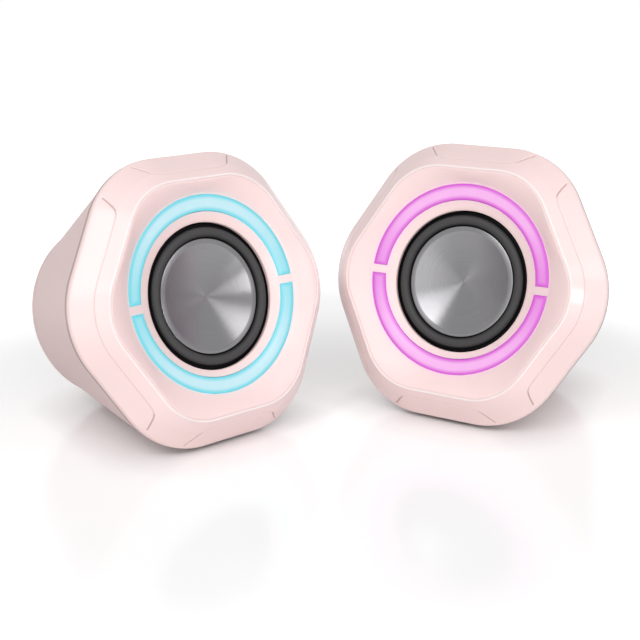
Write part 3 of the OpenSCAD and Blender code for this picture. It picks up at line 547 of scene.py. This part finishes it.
def panel_mesh(name):
    """The panel's face and back as one closed loft, with the walls of the two slots added."""
    edge = eased(
        [
            (PANEL_HALF, FRONT_INSET, -PANEL_SKIRT, 0, 0),
            (PANEL_HALF, FRONT_INSET, 0, 0, PANEL_EDGE_R),
            (PANEL_HALF - PANEL_EDGE, FRONT_INSET, 0, 0, PANEL_EDGE_R),
            (*slope_row(SLOPE_START), 0),
        ]
    )
    slope = [slope_row(share) for share in np.linspace(SLOPE_NEXT, 1, SLOPE_ROWS)]
    rows = [ring(panel_columns(half), half, inset, z, rise) for half, inset, z, rise in [*edge, *slope]]
    outer = panel_columns(GUIDE_OUT_R)
    rows.append(ring(outer, GUIDE_OUT_R, 0, dish_z(GUIDE_OUT_R), RING_RISE))
    slot_row = len(rows) - 1
    inner = panel_columns(CRESCENT_END_R)
    slot_r = crescent_in_r(inner)
    slot_z = dish_z(slot_r)
    for share in np.linspace(0, 1, HUB_ROWS):
        r = slot_r + (LIP_R - slot_r) * share
        z = slot_z + (-LIP_DEPTH - slot_z) * share
        rise = RING_RISE + (DRIVER_RISE - RING_RISE) * share
        rows.append(np.stack([r * np.cos(inner), r * np.sin(inner) + rise, z], axis=-1))
    last_walled = len(rows) - 1
    lip = eased(
        [
            (LIP_R, 0, -LIP_DEPTH, DRIVER_RISE, 0),
            (OPENING_R, 0, -MOUTH_DEPTH, DRIVER_RISE, LIP_EDGE_R),
            (OPENING_R, 0, -HUB_BACK, DRIVER_RISE, 0),
        ]
    )[1:]
    rows += [ring(inner, *point) for point in lip]
    front_count = len(rows)
    rows += [row - (0, 0, PANEL_WALL) for row in rows[last_walled : len(edge) - 1 : -1]]

    def back_of(row):
        return front_count + last_walled - row

    width, half_turn = len(inner), ARC_STEPS + BRIDGE_STEPS
    out_front, in_front = slot_row * width, (slot_row + 1) * width
    out_back, in_back = back_of(slot_row) * width, back_of(slot_row + 1) * width
    walls = []
    for start in (0, half_turn):
        for front, back in ((out_front, out_back), (in_front, in_back)):
            arc = range(start, start + ARC_STEPS)
            walls += [(front + i, front + i + 1, back + i + 1, back + i) for i in arc]
        walls += [(out_front + i, in_front + i, in_back + i, out_back + i) for i in (start, start + ARC_STEPS)]

    def in_slot(row, column):
        return row in (slot_row, back_of(slot_row + 1)) and column % half_turn < ARC_STEPS

    mesh = loft(name, rows, closed=True, skip=in_slot, extra=walls)
    outward(mesh)
    mesh.set_sharp_from_angle(angle=CREASE)
    return mesh


def crescent_group():
    """How far a point of the face lies inside the nearer crescent, and from its ends, in millimetres."""
    group = bpy.data.node_groups.new("crescent_depth", "ShaderNodeTree")
    for name in ("Depth", "From End"):
        group.interface.new_socket(name=name, in_out="OUTPUT", socket_type="NodeSocketFloat")
    own = add_node(group, "Attribute", attribute_name="own").outputs["Vector"]
    to_centre = {0: own, 1: (1 / MM, 1 / MM, 0), 2: (0, -RING_RISE, 0)}
    centred = add_node(group, "VectorMath", to_centre, operation="MULTIPLY_ADD").outputs[0]
    folded = add_node(group, "VectorMath", {0: centred}, operation="ABSOLUTE").outputs[0]

    def distance_from(centre):
        return add_node(group, "VectorMath", {0: folded, 1: centre}, operation="DISTANCE").outputs["Value"]

    big_r = CRESCENT_MID_R + CRESCENT_SHIFT
    from_out = math_node(group, "SUBTRACT", GUIDE_OUT_R, distance_from((0, 0, 0)))
    from_in = math_node(group, "SUBTRACT", distance_from((0, -CRESCENT_SHIFT, 0)), big_r)
    from_axis = add_node(group, "SeparateXYZ", {0: folded}).outputs["Y"]
    from_end = math_node(group, "SUBTRACT", from_axis, GUIDE_END_GAP / 2)
    depth = math_node(group, "MINIMUM", math_node(group, "MINIMUM", from_out, from_in), from_end)
    feed(group.nodes.new("NodeGroupOutput"), {"Depth": depth, "From End": from_end})
    return group


CRESCENT = crescent_group()
# A painted glow of the guides' light on the plastic next to the slots: where it starts and ends, and its share.
GLOW_OUTSIDE, GLOW_INSIDE, GLOW_SHARE = -2.5, 0.5, 0.3
GLOW_TINT = {"left": (0.75, 0.82, 0.86), "right": (0.95, 0.55, 0.85)}


def panel_material(name, tint):
    """The pink plastic, with a painted glow of the guides' light next to the slots."""
    material = pink_plastic.copy()
    material.name = name
    depth = add_node(material.node_tree, "Group", node_tree=CRESCENT).outputs["Depth"]
    glow = smooth_range(material.node_tree, depth, GLOW_OUTSIDE, GLOW_INSIDE, high=GLOW_SHARE)
    tinted(material, glow, tint)
    return material


for side in SIDES:
    material = panel_material(side + "_panel_plastic", GLOW_TINT[side])
    panel = add_piece(panel_mesh(side + "_dished_panel"), side, material, side + "_front_panel")
    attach(panel, "root")

# Light guides
# Two crescents of milky acrylic in each panel's slots, lit from behind: cyan on the left speaker and magenta on the
# right one, brighter along the middle and slightly crowned.
GUIDE_CLEARANCE, GUIDE_CROWN, GUIDE_WALL, GUIDE_EDGE_R, GUIDE_EDGE_STEPS = 0.1, 0.3, 2.0, 0.25, 2
GUIDE_ACROSS, GUIDE_ALONG = 12, 160
# The colour is palest this far inside the edges and from the ends, in millimetres.
PALE_START, PALE_FULL, PALE_LENGTH, END_PALENESS = 0.3, 2.3, 30, 0.45
MILK_SCALE, MILK_LOW, MILK_HIGH = 180, 0.85, 1.1
ACRYLIC, ACRYLIC_ROUGH, GUIDE_LIGHT = (0.03, 0.03, 0.03, 1), 0.3, 1.0


def guide_mesh(name, way):
    """The crowned face of a crescent, above the driver where way is 1 and below it where it is -1."""
    rows = []
    for across in np.linspace(0, 1, GUIDE_ACROSS + 1):
        end_r = CRESCENT_END_R + (GUIDE_OUT_R - CRESCENT_END_R) * across
        gap = math.asin((GUIDE_END_GAP / 2 + GUIDE_CLEARANCE) / end_r)
        angles = np.linspace(gap, math.pi - gap, GUIDE_ALONG + 1)
        low, high = crescent_in_r(angles) + GUIDE_CLEARANCE, GUIDE_OUT_R - GUIDE_CLEARANCE
        r = low + (high - low) * across
        z = dish_z(r) + GUIDE_CROWN * (1 - (2 * across - 1) ** 2)
        rows.append(np.stack([r * np.cos(angles), way * r * np.sin(angles) + RING_RISE, z], axis=-1))
    mesh = loft(name, rows, skip=lambda row, column: column == GUIDE_ALONG)
    if way > 0:
        mesh.flip_normals()
    return mesh


def rounded_edges(guide):
    """Gives a guide its thickness, below its face, and rounds its edges."""
    wall = guide.modifiers.new("wall", "SOLIDIFY")
    wall.thickness = GUIDE_WALL * MM
    wall.offset = -1
    edge = guide.modifiers.new("edge", "BEVEL")
    edge.width = GUIDE_EDGE_R * MM
    edge.segments = GUIDE_EDGE_STEPS
    edge.limit_method = "ANGLE"
    edge.angle_limit = CREASE


def guide_material(name, core, edge):
    """Milky acrylic lit from behind: pale along the middle, deeper in colour at the edges and the ends."""
    material = new_material(name)
    tree = material.node_tree
    crescent = add_node(tree, "Group", node_tree=CRESCENT).outputs
    inside = smooth_range(tree, crescent["Depth"], PALE_START, PALE_FULL)
    along = smooth_range(tree, crescent["From End"], 0, PALE_LENGTH, low=END_PALENESS)
    milk = add_node(tree, "TexNoise", {"Vector": object_place(tree), "Scale": MILK_SCALE}).outputs["Fac"]
    cloudy = even_range(tree, milk, MILK_LOW, MILK_HIGH)
    pale = math_node(tree, "MULTIPLY", math_node(tree, "MULTIPLY", inside, along), cloudy)
    light = mixed(tree, pale, (*edge, 1), (*core, 1))
    acrylic = {"Base Color": ACRYLIC, "Roughness": ACRYLIC_ROUGH}
    feed(shader_of(material), {**acrylic, "Emission Color": light, "Emission Strength": GUIDE_LIGHT})
    return material


GUIDE_MATERIAL = {
    "left": guide_material("cyan_guide", core=(0.52, 0.78, 0.86), edge=(0.12, 0.65, 0.76)),
    "right": guide_material("magenta_guide", core=(0.89, 0.43, 0.82), edge=(0.66, 0.075, 0.64)),
}
for side in SIDES:
    for height, way in (("upper", 1), ("lower", -1)):
        mesh = guide_mesh(f"{side}_{height}_light", way)
        guide = add_piece(mesh, side, GUIDE_MATERIAL[side], f"{side}_{height}_light_guide")
        rounded_edges(guide)
        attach(guide, "root")

# Surrounds
# The black rubber half roll between each cone and its basket, moulded in one piece and glued to both. It is drawn in
# sectors, each along its own radius, from the fixed outer flange to the moving cone.
ROLL_OUT_R, ROLL_IN_R, ROLL_H, RUBBER_T = 27.8, 23.2, 2.4, 0.6
FLANGE_OUT_R, FLANGE_IN_R, SURROUND_FRONT = 31.2, 21.3, 8.2
# The roll rises from the flanges a little way round its half turn, and ROLL_FOOT away from its edge.
ROLL_START, ROLL_END, ROLL_STEPS, ROLL_FOOT = 0.06, 0.94, 25, 0.3
SECTORS, SECTOR_STEPS = 16, 8
# The crest of each roll is painted paler, as a painted highlight.
CREST_HIGHLIGHT_START, CREST_HIGHLIGHT_TINT = 0.3, (0.065, 0.064, 0.065)

rubber = grained(
    "black_rubber", (0.004, 0.004, 0.005), (0.008, 0.008, 0.009), clouds=60, grain=3500, rough=(0.34, 0.48), bump=0.4
)
feed(shader_of(rubber), {"Specular IOR Level": 0.12})


def crest_highlight_rubber():
    """The rubber of the rolls, with a painted highlight that makes it paler along the crest."""
    material = rubber.copy()
    material.name = "crest_highlight_rubber"
    tree = material.node_tree
    low, high = (CREST_HIGHLIGHT_START * ROLL_H - SURROUND_FRONT) * MM, (ROLL_H - SURROUND_FRONT) * MM
    # Painted highlight along the crest.
    tinted(material, smooth_range(tree, own_height(tree), low, high), CREST_HIGHLIGHT_TINT)
    return material


roll_rubber = crest_highlight_rubber()


def roll_profile(offset):
    """Radius and height of the rubber's front, or of its back where offset is its thickness, from outside in."""
    base = -SURROUND_FRONT - offset
    middle, half = (ROLL_OUT_R + ROLL_IN_R) / 2, (ROLL_OUT_R - ROLL_IN_R) / 2
    turns = np.linspace(ROLL_START, ROLL_END, ROLL_STEPS) * math.pi
    arc = [(middle + (half - offset) * math.cos(t), base + ROLL_H * math.sin(t)) for t in turns]
    outer = [(FLANGE_OUT_R, base), (ROLL_OUT_R + ROLL_FOOT, base)]
    return [*outer, *arc, (ROLL_IN_R - ROLL_FOOT, base), (FLANGE_IN_R, base)]


def close_ends(mesh):
    """Closes the two ends of a sector with flat faces, whose edges stay crisp."""
    work = bmesh.new()
    work.from_mesh(mesh)
    ends = [edge for edge in work.edges if edge.is_boundary]
    bmesh.ops.holes_fill(work, edges=ends)
    for edge in ends:
        edge.smooth = False
    work.to_mesh(mesh)
    work.free()


def sector_mesh(name, profile, middle, half_width):
    """One sector of a ring with the given profile, about the angle of its middle."""
    angles = middle + np.linspace(-1, 1, SECTOR_STEPS + 1) * half_width
    rows = [
        np.stack([r * np.cos(angles), r * np.sin(angles) + DRIVER_RISE, np.full_like(angles, z)], axis=-1)
        for r, z in profile
    ]
    mesh = loft(name, rows, closed=True, skip=lambda row, column: column == SECTOR_STEPS)
    close_ends(mesh)
    outward(mesh)
    return mesh


def ring_sectors(side, name, profile, count, material, node):
    """The sectors of a ring with the given profile, each with the direction of its own radius."""
    sectors = []
    for k in range(count):
        middle = 2 * math.pi * k / count
        mesh = sector_mesh(f"{side}_{name}_{k}", profile, middle, math.pi / count)
        along = Vector((math.cos(middle), math.sin(middle), 0))
        sectors.append((add_piece(mesh, side, material, node), along))
    return sectors


def bend(sector):
    """Bakes a sector's place into its mesh."""
    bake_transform(sector)


for side in SIDES:
    profile = roll_profile(0) + roll_profile(RUBBER_T)[::-1]
    rings = ring_sectors(side, "surround", profile, SECTORS, roll_rubber, side + "_surround")
    for sector, along in rings:
        bend(sector)

# Cones
# A shallow dish of aluminium on each driver, glued to the surround at its edge and to the voice coil behind. It is
# turned on a lathe, and the fine rings that are left make the light gather in fans.
CONE_R, CONE_DISH_R, CONE_FRONT, CONE_DEPTH, CONE_T = 22.9, 21.0, 7.5, 2.6, 0.4
CONE_TIP_R, CONE_EDGE_R = 0.02, 0.15
CONE_COLUMNS, CONE_ROWS, CONE_BACK_SKIP = 192, 60, 4
LATHE_SCALE, LATHE_DETAIL, LATHE_BUMP, LATHE_ROUGH = 2600, 4, 0.15, (0.22, 0.28)
FAN_SPREAD, ALONG_RINGS = 0.9, 0.25


def cone_mesh(name):
    """A dish that is deepest in the middle, with a flat edge and a thin wall."""
    angles = np.linspace(0, 2 * math.pi, CONE_COLUMNS, endpoint=False)

    def front(r):
        return -CONE_FRONT - CONE_DEPTH * max(0, 1 - (r / CONE_DISH_R) ** 2)

    radii = np.linspace(CONE_TIP_R, CONE_DISH_R, CONE_ROWS)
    inside = [(r, 0, front(r), DRIVER_RISE, 0) for r in radii]
    edge = [(CONE_R, 0, z, DRIVER_RISE, CONE_EDGE_R) for z in (-CONE_FRONT, -CONE_FRONT - CONE_T)]
    back = [(r, 0, front(r) - CONE_T, DRIVER_RISE, 0) for r in radii[::-CONE_BACK_SKIP]]
    profile = eased([*inside, *edge, *back])
    mesh = loft(name, [ring(angles, *point) for point in profile], closed=True)
    outward(mesh)
    return mesh


def turned_metal(name, tint, dark):
    """Metal with lathe rings about the driver's axis, along which its reflections are drawn out."""
    material = new_material(name)
    tree = material.node_tree
    to_axis = {0: object_place(tree), 1: (1, 1, 0), 2: (0, -DRIVER_RISE * MM, 0)}
    from_axis = add_node(tree, "VectorMath", to_axis, operation="MULTIPLY_ADD").outputs[0]
    radius = add_node(tree, "VectorMath", {0: from_axis}, operation="LENGTH").outputs["Value"]
    lathe = {"W": radius, "Scale": LATHE_SCALE, "Detail": LATHE_DETAIL}
    rings = add_node(tree, "TexNoise", lathe, noise_dimensions="1D").outputs["Fac"]
    tone = mixed(tree, rings, (*dark, 1), (*tint, 1))
    rough = even_range(tree, rings, *LATHE_ROUGH)
    height = {"Strength": LATHE_BUMP, "Distance": GRAIN_H * MM, "Height": rings}
    normal = add_node(tree, "Bump", height).outputs["Normal"]
    tangent = add_node(tree, "Tangent", direction_type="RADIAL", axis="Z").outputs["Tangent"]
    fans = {"Anisotropic": FAN_SPREAD, "Anisotropic Rotation": ALONG_RINGS, "Tangent": tangent}
    feed(shader_of(material), {"Base Color": tone, "Metallic": 1.0, "Roughness": rough, "Normal": normal, **fans})
    return material


cone_metal = turned_metal("turned_aluminium", tint=(0.27, 0.266, 0.274), dark=(0.18, 0.177, 0.183))
for side in SIDES:
    mesh = cone_mesh(side + "_turned_cone")
    mesh.shade_smooth()
    mesh.materials.append(cone_metal)
    cone = bpy.data.objects.new(mesh.name, mesh)
    scene.collection.objects.link(cone)
    cone.matrix_world = PLACE[side]
    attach(cone, side + "_diaphragm")
    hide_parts(side + "_cone")

# Rear shells
# The tapered housing of each speaker, moulded in pink plastic, with a rounded back that frames the rear panel. Its
# pink is drawn greyer and darker as painted shade. It meets the back of the rim, and six screws hold it to the baffle.
SHELL_HALF, SHELL_INSET, TAPER_END, SHELL_DEPTH = 57.0, 22.1, 80.41, 91.41
BACK_HALF, BACK_INSET, BACK_ROUND, PANEL_HOLE_R, PANEL_HOLE_EDGE_R = 38.76, 0.3, 11.0, 24.15, 0.3
SHELL_WALL, WALL_LEAN, SEAT_DEPTH, SEAT_R, SEAT_LEDGE = 2.6, 0.27, 90.2, 20.95, 1
SHELL_COLUMNS, TAPER_ROWS, BACK_ROWS, INSIDE_SKIP = 216, 40, 14, 3

# The shells' pink is drawn greyer and darker as painted shade.
shell_plastic = grained(
    "shell_plastic", (0.74, 0.565, 0.555), (0.77, 0.595, 0.585), clouds=20, grain=2200, rough=(0.4, 0.52), bump=0.35
)
feed(shader_of(shell_plastic), {"Specular IOR Level": 0.2})


def shell_mesh(name):
    """The taper from the rim to a round back, the seat of the rear panel in it, and the inner wall."""
    angles = np.linspace(0, 2 * math.pi, SHELL_COLUMNS, endpoint=False)
    taper = [
        (
            SHELL_HALF + (BACK_HALF - SHELL_HALF) * share,
            SHELL_INSET + (BACK_INSET - SHELL_INSET) * share,
            -RIM_DEPTH - (TAPER_END - RIM_DEPTH) * share,
            0,
            0,
        )
        for share in np.linspace(0, 1, TAPER_ROWS)
    ]
    back = [
        (
            BACK_HALF - BACK_ROUND * (1 - math.cos(turn)),
            BACK_INSET,
            -TAPER_END - BACK_ROUND * math.sin(turn),
            0,
            0,
        )
        for turn in np.linspace(0, math.pi / 2, BACK_ROWS)[1:]
    ]
    inside = [
        (half - SHELL_WALL, inset, z + SHELL_WALL * WALL_LEAN, 0, 0) for half, inset, z, _, _ in taper[::-INSIDE_SKIP]
    ]
    profile = eased(
        [
            *taper,
            *back,
            (PANEL_HOLE_R, 0, -SHELL_DEPTH, 0, PANEL_HOLE_EDGE_R),
            (PANEL_HOLE_R, 0, -SEAT_DEPTH, 0, 0),
            (SEAT_R, 0, -SEAT_DEPTH, 0, 0),
            (SEAT_R, 0, -SHELL_DEPTH + SHELL_WALL + SEAT_LEDGE, 0, 0),
            *inside,
        ]
    )
    mesh = loft(name, [ring(angles, *point) for point in profile], closed=True)
    outward(mesh)
    return mesh


for side in SIDES:
    shell = add_piece(shell_mesh(side + "_tapered_shell"), side, shell_plastic, side + "_rear_shell")
    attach(shell, "root")

# Rear panels and controls
# The round plates in the backs, each held by four screws, and what is mounted in them: ribbed knob, push buttons and
# black sockets. The solids are right as they are and take moulded plastic finishes.
black_plastic = grained(
    "black_plastic", (0.018, 0.018, 0.02), (0.028, 0.028, 0.03), clouds=40, grain=2400, rough=(0.42, 0.55), bump=0.35
)


def dress(material, *nodes):
    """Gives CAD nodes a material in place of their plain one."""
    for node in nodes:
        mesh = frame["nodes"][node].data
        mesh.materials.clear()
        mesh.materials.append(material)


# The rear panels and the knob take the shells' plastic, with its painted shade.
dress(shell_plastic, "left_rear_panel", "right_rear_panel", "volume_knob")
dress(black_plastic, "left_link_jack", "right_link_jack", "aux_jack")
dress(black_plastic, "light_button", "source_button", "button_switches")

# Screws, shaft, power inlet and magnet plates
# Plated steel pieces: the screws are driven into the baffle and the shell, the shaft turns in its pot, and the plates
# are clamped round the magnet. All have fine brushed streaks and a few dull patches.
STREAK_SCALE, STREAK_DETAIL = 900, 3


def brushed_metal(name, tint, dull, streaks, rough):
    """Metal whose tone and roughness wander in streaks, squeezed along each axis as streaks says."""
    material = new_material(name)
    tree = material.node_tree
    drawn_out = add_node(tree, "Mapping", {"Vector": object_place(tree), "Scale": streaks}).outputs["Vector"]
    noise = {"Vector": drawn_out, "Scale": STREAK_SCALE, "Detail": STREAK_DETAIL}
    lines = add_node(tree, "TexNoise", noise).outputs["Fac"]
    tone = mixed(tree, lines, (*dull, 1), (*tint, 1))
    feed(shader_of(material), {"Base Color": tone, "Metallic": 1.0, "Roughness": even_range(tree, lines, *rough)})
    return material


steel = brushed_metal(
    "plated_steel", tint=(0.62, 0.62, 0.64), dull=(0.45, 0.45, 0.47), streaks=(1, 1, 6), rough=(0.22, 0.38)
)
dress(steel, "volume_pot", "volume_shaft", "power_inlet")
for side in SIDES:
    dress(steel, side + "_rear_screws", side + "_driver_screws", side + "_case_screws")
    dress(steel, side + "_top_plate", side + "_yoke")

# Feet, gaskets and leads
# Strips glued under the shells, rings clamped between the panels and the drivers, and the sheathed wires inside. They
# take the same black rubber as the surrounds.
for side in SIDES:
    dress(rubber, side + "_feet", side + "_driver_gasket", side + "_driver_lead")

# Driver insides
# Behind each cone: the pressed and painted basket, screwed to the baffle, the ferrite magnet glued to it, and the
# voice coil of copper wire, wound on its former.
black_metal = grained(
    "painted_metal", (0.02, 0.02, 0.022), (0.03, 0.03, 0.032), clouds=30, grain=1800, rough=(0.35, 0.5), bump=0.4
)
ferrite = grained(
    "ferrite", (0.055, 0.055, 0.06), (0.08, 0.08, 0.085), clouds=90, grain=1500, rough=(0.55, 0.75), bump=0.6
)
copper = brushed_metal(
    "copper_wire", tint=(0.80, 0.42, 0.22), dull=(0.58, 0.27, 0.12), streaks=(1, 1, 8), rough=(0.25, 0.4)
)
for side in SIDES:
    dress(black_metal, side + "_basket")
    dress(ferrite, side + "_magnet")
    dress(copper, side + "_voice_coil")

# Centring rings
# The ring of treated, corrugated cloth that keeps each coil in the middle of its magnet. It is glued to the basket's
# shelf and to the coil's former, and is drawn in sectors as the surround is.
CLOTH_OUT_R, CLOTH_SEAT_R, CLOTH_IN_R, CLOTH_FRONT, CLOTH_T = 22.2, 20.2, 10.1, 13.75, 0.4
CLOTH_WAVES, CLOTH_WAVE_H, CLOTH_STEPS = 3, 0.5, 48
CLOTH_SECTORS, CLOTH_FIXED_R, CLOTH_MOVING_R = 8, 18.6, 10.6


def cloth_profile(offset):
    """Radius and height of the cloth's front, or of its back where offset is its thickness, from outside in."""
    base = -CLOTH_FRONT - offset
    shares = np.linspace(1, 0, CLOTH_STEPS + 1)
    waves = [
        (CLOTH_IN_R + (CLOTH_SEAT_R - CLOTH_IN_R) * s, base + CLOTH_WAVE_H * math.sin(2 * math.pi * CLOTH_WAVES * s))
        for s in shares
    ]
    return [(CLOTH_OUT_R, base), *waves]


cloth = grained(
    "treated_cloth", (0.55, 0.36, 0.13), (0.66, 0.46, 0.2), clouds=500, grain=1400, rough=(0.8, 0.95), bump=0.8
)
for side in SIDES:
    profile = cloth_profile(0) + cloth_profile(CLOTH_T)[::-1]
    rings = ring_sectors(side, "centring_ring", profile, CLOTH_SECTORS, cloth, side + "_spider")
    for sector, along in rings:
        bend(sector)

# Circuit boards
# Glass-fibre boards under green lacquer: a ring with the lamps behind each panel, and the amplifier in the right
# shell.
circuit_board = grained(
    "circuit_board", (0.01, 0.10, 0.045), (0.02, 0.16, 0.07), clouds=700, grain=2000, rough=(0.3, 0.45), bump=0.3
)
dress(circuit_board, "left_light_board", "right_light_board", "amp_board")
